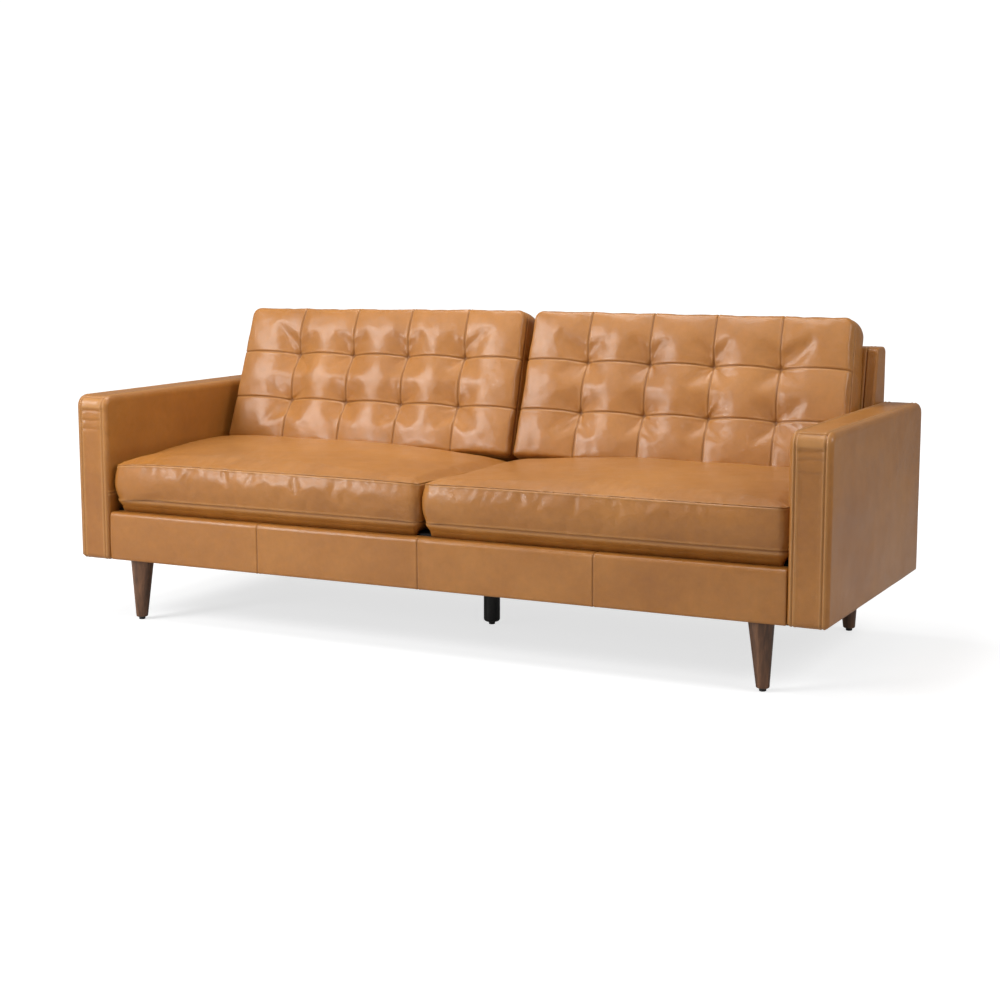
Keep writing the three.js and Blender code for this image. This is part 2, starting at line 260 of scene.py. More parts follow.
LEATHER_TONES = ((0.30, (0.325, 0.116, 0.014)), (0.52, (0.382, 0.143, 0.019)), (0.72, (0.440, 0.174, 0.028)))
# painted shade: the colour that seam grooves and tuft dimples are darkened towards
SEAM_PAINTED_SHADE = (0.085, 0.028, 0.006)
# painted highlight on the ridges beside seams; the same colour also pales seat crowns and pillow domes where
# they rise
PALE_RAISED_TONE = (0.56, 0.28, 0.085)


def make_leather():
    """Caramel pull-up leather: clouded colour, creased grain, pores, painted shade in the seams and tuft
    dimples, and a painted highlight on the seam ridges.
    """
    n = Nodes("caramel_leather")
    clouds = n.noise(3.2, detail=4.0, roughness=0.6)
    base = n.ramp(clouds, LEATHER_TONES)
    mottle = n.span(n.noise(38.0, detail=5.0, roughness=0.7), 0.90, 1.08, 0.3, 0.7)
    shade = n.add("ShaderNodeCombineColor")
    for socket in shade.inputs:
        n.link(mottle, socket)
    base = n.mix(1.0, base, shade.outputs["Color"], "MULTIPLY")
    # painted shade in the seam grooves and tuft dimples, read from the seam attribute
    seam = n.attribute("seam")
    base = n.mix(n.maths("MULTIPLY", seam, 0.45), base, SEAM_PAINTED_SHADE)
    # painted highlight on the ridges beside seams, and paler where seat crowns and pillow domes rise
    pale_raised = n.attribute("pale_raised")
    base = n.mix(n.maths("MULTIPLY", pale_raised, 0.42), base, PALE_RAISED_TONE)
    polish = n.span(n.noise(9.0, detail=3.0), 0.28, 0.37, 0.3, 0.7)
    rough = n.maths("ADD", polish, n.maths("MULTIPLY", seam, 0.25))
    folds = n.noise(26.0, detail=3.0, roughness=0.55, distortion=1.2)
    creases = n.cells(420.0)
    pores = n.noise(900.0, detail=2.0, roughness=0.6)
    grain = n.bump(folds, 0.0022, 0.35)
    grain = n.bump(n.span(creases, 0.0, 1.0, 0.0, 0.12), 0.00045, 0.6, under=grain)
    grain = n.bump(pores, 0.00025, 0.5, under=grain)
    n.set(Base_Color=base, Roughness=rough, Normal=grain, Coat_Weight=0.22, Coat_Roughness=0.22)
    n.set(Specular_IOR_Level=0.5, Sheen_Weight=0.04, Sheen_Roughness=0.5, Sheen_Tint=(0.9, 0.6, 0.35, 1))
    return n.material


def make_wood(name, dark, light, roughness, grain=(1.0, 1.0, 0.06)):
    """Wood with its grain drawn out along the axis of the smallest grain value."""
    n = Nodes(name)
    along = n.stretched(grain)
    rings = n.noise(70.0, detail=5.0, roughness=0.6, distortion=0.6, place=along)
    fibres = n.noise(420.0, detail=2.0, place=along)
    colour = n.ramp(rings, [(0.32, dark), (0.62, light)])
    fine = n.span(fibres, 0.8, 1.15, 0.3, 0.7)
    shade = n.add("ShaderNodeCombineColor")
    for socket in shade.inputs:
        n.link(fine, socket)
    colour = n.mix(1.0, colour, shade.outputs["Color"], "MULTIPLY")
    n.set(Base_Color=colour, Roughness=n.span(rings, roughness - 0.06, roughness + 0.08, 0.3, 0.7))
    n.set(Normal=n.bump(fibres, 0.0003, 0.4))
    return n.material


def make_plain(name, low, high, roughness, scale, bump_distance, metallic=0.0):
    """A quiet finish with a slight mottle and a fine tooth."""
    n = Nodes(name)
    speckle = n.noise(scale, detail=3.0)
    n.set(Base_Color=n.ramp(speckle, [(0.35, low), (0.65, high)]))
    n.set(Roughness=n.span(speckle, roughness - 0.05, roughness + 0.07, 0.3, 0.7))
    n.set(Normal=n.bump(speckle, bump_distance, 0.6), Metallic=metallic)
    return n.material


def make_weave(name, dark, light, scale):
    """Cloth of two crossed sets of threads."""
    n = Nodes(name)
    threads = []
    for direction in ("X", "Y"):
        wave = n.add("ShaderNodeTexWave", bands_direction=direction)
        n.link(n.place, wave.inputs["Vector"])
        wave.inputs["Scale"].default_value = scale
        threads.append(wave.outputs["Fac"])
    cloth = n.maths("MULTIPLY", *threads)
    n.set(Base_Color=n.ramp(cloth, [(0.1, dark), (0.7, light)]), Roughness=0.9)
    n.set(Normal=n.bump(cloth, 0.0004, 0.7))
    return n.material


LEATHER = make_leather()
THREAD = make_plain("thread", (0.30, 0.13, 0.04), (0.42, 0.20, 0.07), 0.6, 900.0, 0.0001)
NODE_MATERIALS = {
    "walnut": make_wood("walnut", (0.064, 0.026, 0.010), (0.190, 0.084, 0.037), 0.38),
    "timber": make_wood(
        "poplar_frame", (0.42, 0.28, 0.14), (0.58, 0.42, 0.24), 0.7, grain=(0.06, 1.0, 1.0)
    ),
    "glide_plastic": make_plain(
        "glide_plastic", (0.012, 0.011, 0.010), (0.022, 0.020, 0.019), 0.5, 400.0, 0.0001
    ),
    "black_paint": make_plain(
        "black_paint", (0.010, 0.009, 0.008), (0.018, 0.016, 0.014), 0.42, 120.0, 0.0003
    ),
    "steel": make_plain(
        "zinc_steel", (0.42, 0.42, 0.43), (0.56, 0.56, 0.57), 0.34, 300.0, 0.0001, metallic=1.0
    ),
    "foam": make_plain("foam", (0.72, 0.64, 0.46), (0.82, 0.74, 0.56), 0.9, 500.0, 0.0008),
    "webbing": make_weave("webbing", (0.07, 0.045, 0.025), (0.20, 0.14, 0.08), 160.0),
    "cloth": make_weave("black_cloth", (0.008, 0.007, 0.007), (0.030, 0.028, 0.027), 260.0),
    "leather": LEATHER,
}


def dress_frame():
    """Gives every CAD node the material of its record slot."""
    for part in frame["record"]["subparts"]:
        node = frame["nodes"].get(part["node"])
        if node is None:
            continue
        node.data.materials.clear()
        node.data.materials.append(NODE_MATERIALS[part["material_slot"]])


dress_frame()

# ---------------------------------------------------------------- mesh helpers


def grid_lines(start, end, step, seams=(), edge=0.0, fine=(0.0, 1.0, 2.2, 3.8, 5.8, 9.0)):
    """Positions from start to end: an even pitch, and closer lines round seams and in rounded edges."""
    marks = set()
    for seam in seams:
        for offset in fine:
            marks.update((seam - offset * MM, seam + offset * MM))
    for share in (0.25, 0.5, 0.75, 1.0):
        marks.update((start + share * edge, end - share * edge))
    fixed = sorted({round(m, 6) for m in marks if start < m < end} | {start, end})
    keep = [fixed[0]]
    for value in fixed[1:]:
        if value - keep[-1] > 0.0004:
            keep.append(value)
    keep[-1] = end
    lines = [keep[0]]
    for low, high in zip(keep, keep[1:]):
        count = max(1, round((high - low) / step))
        lines.extend(low + (high - low) * i / count for i in range(1, count + 1))
    return np.array(lines)


def box_grid(us, vs, ws):
    """The surface of a box over three lists of lines: u, v and w of each vertex, and the quads."""
    sizes = (len(us), len(vs), len(ws))
    index = -np.ones(sizes, dtype=np.int64)
    grid = np.indices(sizes)
    outer = np.zeros(sizes, dtype=bool)
    for axis, size in enumerate(sizes):
        outer |= (grid[axis] == 0) | (grid[axis] == size - 1)
    index[outer] = np.arange(outer.sum())
    i, j, k = (g[outer] for g in grid)
    quads = []

    def sheet(face, flip):
        a, b, c, d = face[:-1, :-1], face[1:, :-1], face[1:, 1:], face[:-1, 1:]
        order = (a, d, c, b) if flip else (a, b, c, d)
        quads.append(np.stack([part.ravel() for part in order], axis=1))

    sheet(index[:, :, -1], False)
    sheet(index[:, :, 0], True)
    sheet(index[-1, :, :], False)
    sheet(index[0, :, :], True)
    sheet(index[:, -1, :], True)
    sheet(index[:, 0, :], False)
    return np.array(us)[i], np.array(vs)[j], np.array(ws)[k], np.concatenate(quads)


class Slab:
    """A block whose outline in u and v has rounded corners, with rounded edges towards both w faces."""

    def __init__(self, u_range, v_range, w_range, corners, edge):
        self.u_range, self.v_range, self.w_range = u_range, v_range, w_range
        self.corners = corners  # radius at (u0, v0), (u1, v0), (u0, v1), (u1, v1)
        self.edge = edge

    def surface(self, u, v, w):
        """Place and outward normal, in u, v, w, of points given on the plain block's surface."""
        (u0, u1), (v0, v1), (w0, w1) = self.u_range, self.v_range, self.w_range
        to_side = np.stack([u - u0, u1 - u, v - v0, v1 - v])
        inside = to_side.min(axis=0)
        nearest = to_side.argmin(axis=0)
        outward_u = np.choose(nearest, [-1.0, 1.0, 0.0, 0.0])
        outward_v = np.choose(nearest, [0.0, 0.0, -1.0, 1.0])
        pu, pv = u.astype(float).copy(), v.astype(float).copy()
        for corner, radius in enumerate(self.corners):
            side_u, side_v = (1 if corner % 2 else -1), (1 if corner > 1 else -1)
            centre_u = (u1 if side_u > 0 else u0) - side_u * radius
            centre_v = (v1 if side_v > 0 else v0) - side_v * radius
            du, dv = (u - centre_u) * side_u, (v - centre_v) * side_v
            here = (du > 0) & (dv > 0)
            length = np.hypot(du, dv)
            shrink = np.where(here, np.maximum(du, dv) / np.maximum(length, 1e-12), 1.0)
            pu = np.where(here, centre_u + side_u * du * shrink, pu)
            pv = np.where(here, centre_v + side_v * dv * shrink, pv)
            outward_u = np.where(here, side_u * du / np.maximum(length, 1e-12), outward_u)
            outward_v = np.where(here, side_v * dv / np.maximum(length, 1e-12), outward_v)
        side_w = np.where(w - w0 < w1 - w, -1.0, 1.0)
        to_face = np.minimum(w - w0, w1 - w)
        r = self.edge
        near = (inside < r) & (to_face < r)
        on_band = inside <= to_face
        turn = np.where(on_band, (r - to_face) / r * 0.5, 1.0 - (r - inside) / r * 0.5)
        turn = np.where(near, turn, np.where(on_band, 0.0, 1.0)) * (math.pi / 2)
        new_inside = np.where(near, r * (1 - np.cos(turn)), inside)
        new_face = np.where(near, r * (1 - np.sin(turn)), to_face)
        pu += outward_u * (inside - new_inside)
        pv += outward_v * (inside - new_inside)
        pw = np.where(side_w < 0, w0 + new_face, w1 - new_face)
        flat, steep = np.cos(turn), np.sin(turn)
        normal = np.stack([outward_u * flat, outward_v * flat, side_w * steep], axis=1)
        return np.stack([pu, pv, pw], axis=1), normal


GROOVE_WIDTH = 1.5  # mm, as are the other seam sizes
RIDGE_FROM_SEAM = 4.6
RIDGE_WIDTH = 2.4
# width of the painted highlight on a seam's ridge
RIDGE_HIGHLIGHT_WIDTH = 2.2


def seam_relief(distance, groove=1.2, ridge=1.1):
    """Height in mm across a topstitched seam, at a distance in mm: a groove between two low ridges."""
    d = np.abs(distance)
    ridges = ridge * np.exp(-(((d - RIDGE_FROM_SEAM) / RIDGE_WIDTH) ** 2))
    return ridges - groove * np.exp(-((d / GROOVE_WIDTH) ** 2))


def seam_mark(distance):
    """1 in the groove of a seam, fading to 0 outside it."""
    return np.exp(-((np.abs(distance) / GROOVE_WIDTH) ** 2))


def ridge_mark(distance, middle=RIDGE_FROM_SEAM, width=RIDGE_HIGHLIGHT_WIDTH):
    """1 on the ridge beside a seam, fading to 0 on both sides of it."""
    return np.exp(-(((distance - middle) / width) ** 2))


def mapped(points):
    """From the outline frame (y, z, x) to x, y, z."""
    return points[:, [2, 0, 1]]


def ripple(points, length, seed):
    """Smooth noise between -1 and 1 from a few crossed waves of about this length."""
    rng = np.random.default_rng(seed)
    total = np.zeros(len(points))
    for _ in range(7):
        direction = rng.normal(size=3)
        direction /= np.linalg.norm(direction)
        pitch = length * rng.uniform(0.6, 1.6)
        bend = 0.6 * np.sin(points @ rng.normal(size=3) / length + rng.uniform(0, 6))
        total += np.sin(points @ direction * (2 * math.pi / pitch) + bend + rng.uniform(0, 2 * math.pi))
    return total / 7 ** 0.5 / 1.4


def new_object(name, points, faces, material=LEATHER):
    mesh = bpy.data.meshes.new(name)
    mesh.from_pydata([tuple(p) for p in points], [], [tuple(int(i) for i in f) for f in faces])
    mesh.materials.append(material)
    mesh.shade_smooth()
    mesh.update()
    made = bpy.data.objects.new(name, mesh)
    bpy.context.collection.objects.link(made)
    return made


def set_values(mesh, name, values):
    """Stores one number for each vertex, which the leather material can read by name."""
    layer = mesh.attributes.get(name) or mesh.attributes.new(name, "FLOAT", "POINT")
    layer.data.foreach_set("value", np.asarray(values, dtype=np.float32))


def get_values(mesh, name):
    values = np.empty(len(mesh.vertices), dtype=np.float32)
    mesh.attributes[name].data.foreach_get("value", values)
    return values.astype(float)


def get_points(mesh):
    flat = np.empty(len(mesh.vertices) * 3, dtype=np.float32)
    mesh.vertices.foreach_get("co", flat)
    return flat.reshape(-1, 3).astype(float)


def get_normals(mesh):
    flat = np.empty(len(mesh.vertices) * 3, dtype=np.float32)
    mesh.vertex_normals.foreach_get("vector", flat)
    return flat.reshape(-1, 3).astype(float)


def set_points(mesh, points):
    mesh.vertices.foreach_set("co", np.asarray(points, dtype=np.float32).ravel())
    mesh.update()


def evaluated(piece):
    """Applies the piece's modifiers to its mesh."""
    graph = bpy.context.evaluated_depsgraph_get()
    mesh = bpy.data.meshes.new_from_object(piece.evaluated_get(graph))
    piece.modifiers.clear()
    piece.data = mesh
    return mesh


STITCH_PITCH = 6.0 * MM
STITCH_LENGTH = 4.2 * MM
THREAD_RADIUS = 0.42 * MM
THREAD_SIDES = 5
STITCH_RINGS = ((0, 0.3, -0.6), (0.2, 1.0, 0.3), (0.8, 1.0, 0.3), (1, 0.3, -0.6))  # share, swell, lift


def stitches(name, rows, body):
    """Thread along rows of surface points: each row is (points, normals), both dense arrays."""
    verts, faces = [], []
    radius, around = THREAD_RADIUS, THREAD_SIDES
    for points, normals in rows:
        steps = np.linalg.norm(np.diff(points, axis=0), axis=1)
        along = np.concatenate([[0], np.cumsum(steps)])
        for middle in np.arange(STITCH_PITCH, along[-1] - STITCH_PITCH, STITCH_PITCH):
            ends = []
            for at in (middle - STITCH_LENGTH / 2, middle + STITCH_LENGTH / 2):
                ends.append(np.array([np.interp(at, along, points[:, i]) for i in range(3)]))
            normal = np.array([np.interp(middle, along, normals[:, i]) for i in range(3)])
            normal /= np.linalg.norm(normal)
            run = ends[1] - ends[0]
            run /= np.linalg.norm(run)
            across = np.cross(run, normal)
            first = len(verts)
            for share, swell, lift in STITCH_RINGS:
                centre = ends[0] + (ends[1] - ends[0]) * share + normal * radius * lift
                for side in range(around):
                    angle = 2 * math.pi * side / around
                    offset = across * math.cos(angle) + normal * math.sin(angle)
                    verts.append(centre + offset * radius * swell)
            for ring in range(3):
                for side in range(around):
                    a = first + ring * around + side
                    b = first + ring * around + (side + 1) % around
                    faces.append((a, b, b + around, a + around))
            faces.append(tuple(first + side for side in reversed(range(around))))
            faces.append(tuple(first + 3 * around + side for side in range(around)))
    made = new_object(name, verts, faces, THREAD)
    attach(made, body)


# ---------------------------------------------------------------- arms

ARM_CORNER = 28 * MM
ARM_EDGE = 9 * MM
ARM_SEAM_INSET = 14 * MM
ARM_PUFF = 3.0 * MM  # padding stands proud of the frame by this much
ARM_FOLDS = ((40, 2.4, 5.0), (64, 1.5, 4.5), (92, 1.0, 4.5))  # mm below the top, depth, half width
ARM_CROSS_SEAM = 6 * MM  # behind the front face, on the top front corner
ARM_PIECING = 0.363  # height of the plain seam on the arm's inner side
ARM_HELD_BELOW = 0.470  # up to this height a cushion or the frame lies against the arm
ARM_FRONT_DEPTH = 12 * MM  # the front's padding turns round the edge within this
ARM_HEM = 11 * MM  # the leather turns under by this much
ARM_HEM_RISE = 4 * MM
ARM_STITCH_OFFSET = 4.4 * MM  # the thread runs on both sides of a seam, this far from it
ARM_RIDGE_HIGHLIGHT, ARM_RIDGE_HIGHLIGHT_WIDTH = 4.2, 2.8  # mm from the seam, where the ridge is painted pale as a highlight
OUTLINE_POINTS = 400
CROSS_POINTS = 60


def band_path(u_range, v_range):
    """Dense points of the outline from the lower front, over the top, to the lower rear."""
    (u0, u1), (v0, v1) = u_range, v_range
    count = OUTLINE_POINTS
    up = np.linspace(v0 + 3 * MM, v1, count)
    over = np.linspace(u0, u1, count)
    u = np.concatenate([np.full(count, u0), over[1:], np.full(count - 1, u1)])
    v = np.concatenate([up, np.full(count - 1, v1), up[::-1][1:]])
    return u, v


def arm(side, sign):
    low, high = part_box(f"arm_cover_{side}")
    slab = Slab((low[1], high[1]), (low[2], high[2]), (low[0], high[0]),
                (ARM_EDGE, ARM_EDGE, ARM_CORNER, ARM_CORNER), ARM_EDGE)
    cross = low[1] + ARM_CROSS_SEAM
    rings = (low[0] + ARM_SEAM_INSET, high[0] - ARM_SEAM_INSET)
    folds = [high[2] - drop * MM for drop, _, _ in ARM_FOLDS]
    us = grid_lines(low[1], high[1], 14 * MM, [cross], ARM_EDGE)
    vs = grid_lines(low[2], high[2], 14 * MM, [ARM_PIECING, *folds], ARM_CORNER)
    ws = grid_lines(low[0], high[0], 12 * MM, rings, ARM_EDGE)
    u, v, w, quads = box_grid(us, vs, ws)

    def shape(u, v, w):
        place, normal = slab.surface(u, v, w)
        band = np.abs(normal[:, 2]) < 0.7
        from_ring = np.minimum(np.abs(w - rings[0]), np.abs(w - rings[1])) / MM
        ring = np.where(band, from_ring, 99)
        between = (w > rings[0]) & (w < rings[1])
        across = np.where(band & between & (v > high[2] - ARM_CORNER * 1.2), (u - cross) / MM, 99)
        inner = (w > high[0] - 1e-6) if sign < 0 else (w < low[0] + 1e-6)
        pieced = np.where(inner, (v - ARM_PIECING) / MM, 99)
        seams = np.stack([ring, np.abs(across), np.abs(pieced)])
        height = seam_relief(seams[0]) + seam_relief(seams[1]) + 0.6 * seam_relief(seams[2])
        # padding swells a little between the seams, and the front panel has shallow creases near its top
        middle = np.clip(1 - ((w - (low[0] + high[0]) / 2) / (0.5 * (high[0] - low[0]))) ** 2, 0, 1)
        swell = np.where(band, 1.2 * middle, 0)
        drop = (high[2] - v) / MM
        front = (u < low[1] + 1e-6) & between
        fade = np.clip(from_ring / 8, 0, 1)
        wander = 3 * np.sin(w / 0.021 + 2 * sign)
        crease = np.zeros(len(u))
        for number, (below, deep, spread) in enumerate(ARM_FOLDS):
            off = drop - below - wander * (-1) ** number
            crease += deep * (0.45 * np.exp(-(((off + 8) / 6) ** 2)) - np.exp(-((off / spread) ** 2))) * fade
        height = height + swell + np.where(front, crease, 0)
        soft = ripple(place, 0.16, 11 if sign > 0 else 12) * 0.7 + ripple(place, 0.05, 13) * 0.18
        on_face = np.clip(np.minimum(np.minimum(u - low[1], high[1] - u), high[2] - v) / 0.03, 0, 1)
        height = height + soft * np.where(band, 0.35, on_face)
        # the leather turns under, and the dust cloth covers the rest of the underside
        under = (v < low[2] + 1e-6) & (np.minimum(u - low[1], high[1] - u) > ARM_HEM)
        under &= np.minimum(w - low[0], high[0] - w) > ARM_HEM
        # the padding stands proud, except where a cushion or the frame lies against it or slides past
        against = (w < low[0] + 0.02) if sign > 0 else (w > high[0] - 0.02)
        held = against & (v < ARM_HELD_BELOW)
        turned = np.where(u > low[1] + ARM_FRONT_DEPTH, 1, np.abs(normal[:, 2]))
        puff = ARM_PUFF * np.where(held, 1 - turned, 1) * (v > low[2] + 1e-6)
        place = place + normal * (height * MM + puff)[:, None]
        place[:, 1] = np.where(under, low[2] + ARM_HEM_RISE, place[:, 1])
        return place, normal, seams.min(axis=0)

    place, normal, nearest = shape(u, v, w)
    made = new_object(f"arm_leather_{side}", mapped(place), quads)
    # the arm's twin seams get less painted shade in their grooves than the other seams, and a stronger
    # painted highlight on their ridges
    set_values(made.data, "seam", 0.35 * seam_mark(nearest))
    set_values(made.data, "pale_raised", 1.3 * ridge_mark(nearest, ARM_RIDGE_HIGHLIGHT, ARM_RIDGE_HIGHLIGHT_WIDTH))
    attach(made, "frame")
    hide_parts(f"arm_cover_{side}")

    rows = []
    for ring in rings:
        for offset in (-ARM_STITCH_OFFSET, ARM_STITCH_OFFSET):
            pu, pv = band_path((low[1], high[1]), (low[2], high[2]))
            line, out, _ = shape(pu, pv, np.full(len(pu), ring + offset))
            rows.append((mapped(line), mapped(out)))
    pw = np.linspace(rings[0] + 6 * MM, rings[1] - 6 * MM, CROSS_POINTS)
    for offset in (-ARM_STITCH_OFFSET, ARM_STITCH_OFFSET):
        pu = np.full(CROSS_POINTS, cross + offset)
        line, out, _ = shape(pu, np.full(CROSS_POINTS, high[2]), pw)
        rows.append((mapped(line), mapped(out)))
    stitches(f"arm_stitching_{side}", rows, "frame")


arm("left", -1)
arm("right", 1)

# ---------------------------------------------------------------- front rail and back


QUARTERS = (0.25, 0.5, 0.75)  # the seams that part the rail and the back into four panels


def front_rail():
    """Four panels along the front, swelling slightly between their seams."""
    low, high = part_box("front_rail_cover")
    corner = 12 * MM
    seams = [low[0] + (high[0] - low[0]) * share for share in QUARTERS]
    slab = Slab((low[1], high[1]), (low[2], high[2]), (low[0], high[0]),
                (6 * MM, 6 * MM, corner, 5 * MM), 5 * MM)
    us = grid_lines(low[1], high[1], 10 * MM, (), 12 * MM)
    vs = grid_lines(low[2], high[2], 9 * MM, (), corner)
    ws = grid_lines(low[0], high[0], 14 * MM, seams, 5 * MM)
    u, v, w, quads = box_grid(us, vs, ws)
    place, normal = slab.surface(u, v, w)
    nearest = np.min([np.abs(w - seam) for seam in seams], axis=0) / MM
    band = np.abs(normal[:, 2]) < 0.7
    height = np.where(band, seam_relief(nearest, groove=1.5, ridge=0.6), 0)
    level = np.clip((v - low[2]) / (high[2] - low[2]), 0, 1)
    swell = 1.4 * np.sin(math.pi * level) * np.clip(nearest / 40, 0.2, 1)
    soft = ripple(place, 0.22, 21) * 0.8 + ripple(place, 0.07, 22) * 0.25
    front = normal[:, 0] < -0.5
    height = height + np.where(front, swell + soft * np.clip(level * 4, 0, 1), 0)
    place = place + normal * (height * MM)[:, None]
    made = new_object("front_rail_leather", mapped(place), quads)
    # painted shade in the seam grooves; no painted highlight on this rail
    set_values(made.data, "seam", np.where(band, seam_mark(nearest), 0))
    set_values(made.data, "pale_raised", np.zeros(len(u)))
    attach(made, "frame")
    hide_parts("front_rail_cover")


def back():
    """The fixed back: four panels behind, a plain leaning front, and a seam near each end."""
    low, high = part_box("back_cover")
    top_depth = 80 * MM
    rake = 0.2
    corner = 18 * MM
    edge = 7 * MM
    side_inset = 30 * MM
    side_seam = (low[0] + side_inset, high[0] - side_inset)
    panel_seams = [low[0] + (high[0] - low[0]) * share for share in QUARTERS]
    lean_from = 0.300  # below this height the front face stands upright
    base_setback = 12 * MM
    slab = Slab((high[1] - top_depth, high[1]), (low[2], high[2]), (low[0], high[0]),
                (6 * MM, 6 * MM, 12 * MM, corner), edge)
    us = grid_lines(high[1] - top_depth, high[1], 12 * MM, (), corner)
    vs = grid_lines(low[2], high[2], 16 * MM, (), corner)
    ws = grid_lines(low[0], high[0], 16 * MM, [*panel_seams, *side_seam], edge)
    u, v, w, quads = box_grid(us, vs, ws)
    place, normal = slab.surface(u, v, w)
    band = np.abs(normal[:, 2]) < 0.7
    rear = band & (normal[:, 0] > -0.5)
    panels = np.min([np.abs(w - seam) for seam in panel_seams], axis=0) / MM
    sides = np.min([np.abs(w - seam) for seam in side_seam], axis=0) / MM
    nearest = np.where(rear, panels, 99)
    nearest = np.where(band, np.minimum(nearest, sides), nearest)
    height = seam_relief(nearest, groove=1.4, ridge=0.7)
    soft = ripple(place, 0.24, 31) * 0.9 + ripple(place, 0.08, 32) * 0.25
    level = np.clip((v - low[2]) / (high[2] - low[2]), 0, 1)
    swell = 1.6 * np.sin(math.pi * level) + soft * np.clip(level * 4, 0, 1)
    height = height + np.where(rear, swell, soft * 0.3)
    place = place + normal * (height * MM)[:, None]
    # the front face leans back, so it stands further forward the lower it is
    share = np.clip((high[1] - place[:, 0]) / top_depth, 0, 1)
    lean = np.maximum(rake * (high[2] - place[:, 1]), 0)
    lean = np.where(place[:, 1] < lean_from, 0, lean)
    thin = np.where(place[:, 1] < lean_from, 1 - (base_setback / top_depth), 0)
    place[:, 0] += share * (thin * top_depth - lean)
    made = new_object("back_leather", mapped(place), quads)
    # painted shade in the seam grooves, painted highlight on the ridges beside them
    set_values(made.data, "seam", seam_mark(nearest))
    set_values(made.data, "pale_raised", 0.8 * ridge_mark(nearest))
    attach(made, "frame")
    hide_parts("back_cover")


front_rail()
back()

# ---------------------------------------------------------------- loose cushions


# pressure inside, the furthest that a point may move, and how much looser than its shape the cover is
SEAT_CLOTH = {"pressure": 2.4, "cap": 8 * MM, "slack": 0.004}
BACK_CLOTH = {"pressure": 2.8, "cap": 10 * MM, "slack": 0.007}
CLOTH_FRAMES = 20


def cloth_on(piece, pinned, pressure, slack):
    """A leather-like cloth under pressure, held by its pinned weights."""
    group = piece.vertex_groups.new(name="pinned")
    for weight in np.unique(pinned[pinned > 0]):
        group.add([int(i) for i in np.nonzero(pinned == weight)[0]], float(weight), "REPLACE")
    cloth = piece.modifiers.new("cloth", "CLOTH")
    settings = cloth.settings
    settings.quality = 4
    settings.mass = 0.3
    settings.tension_stiffness = 18
    settings.compression_stiffness = 18
    settings.shear_stiffness = 8
    settings.bending_stiffness = 2.5
    settings.tension_damping = 12
    settings.bending_damping = 1.5
    settings.use_pressure = True
    settings.uniform_pressure_force = pressure
    settings.shrink_min = -slack
    settings.vertex_group_mass = "pinned"
    settings.effector_weights.gravity = 0
    cloth.collision_settings.use_collision = False
    cloth.collision_settings.use_self_collision = False
    cloth.point_cache.frame_start = 1
    cloth.point_cache.frame_end = CLOTH_FRAMES


def inflate(cushions):
    """Blender's cloth under pressure on all the cushions at once, then each point's move is capped."""
    for cushion in cushions:
        cloth_on(cushion["piece"], cushion["pins"], cushion["pressure"], cushion["slack"])
    scene = bpy.context.scene
    for number in range(1, CLOTH_FRAMES + 1):
        scene.frame_set(number)
    graph = bpy.context.evaluated_depsgraph_get()
    moves = []
    for cushion in cushions:
        piece = cushion["piece"]
        moves.append(get_points(piece.evaluated_get(graph).data) - get_points(piece.data))
    for cushion, moved in zip(cushions, moves):
        piece = cushion["piece"]
        piece.modifiers.clear()
        length = np.linalg.norm(moved, axis=1)
        moved *= np.minimum(1, cushion["cap"] / np.maximum(length, 1e-9))[:, None]
        set_points(piece.data, get_points(piece.data) + moved)
    scene.frame_set(1)


def subdivided(piece):
    """Applies one level of subdivision, which keeps the first grid's points first."""
    more = piece.modifiers.new("finer", "SUBSURF")
    more.levels = more.render_levels = 1
    return evaluated(piece)


def smooth(value):
    """Eases from 0 to 1."""
    t = np.clip(value, 0, 1)
    return t * t * (3 - 2 * t)


def seam_path(mesh, picked, order):
    """The finished places and normals of some of the first grid's points, in order."""
    chosen = np.nonzero(picked)[0]
    chosen = chosen[np.argsort(order[chosen])]
    return get_points(mesh)[chosen], get_normals(mesh)[chosen]


def cushion_done(made, kind, side, stitch_rows):
    """Hands the finished cushion to its body and sews its thread on."""
    body = f"{kind}_{side}"
    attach(made, body)
    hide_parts(f"{body}_cover", f"{body}_core")
    stitches(f"{kind}_stitching_{side}", stitch_rows, body)


SEAT_BAND = (0.348, 0.453)  # height of the two seams round a seat cushion's boxing
SEAT_INSET = 9 * MM  # the seams lie this far inside the boxing's bulge
SEAT_PLAY = 2 * MM  # clear of the arm, so that the cushion slides past it
RAIL_LIP, RAIL_TOP = -0.377, 0.3112  # the rail's leather ends here, at this height
BACK_PRESS_FROM = 0.100  # from here back, the back cushion presses the seat down
SEAT_STITCH_OFFSET = 5 * MM


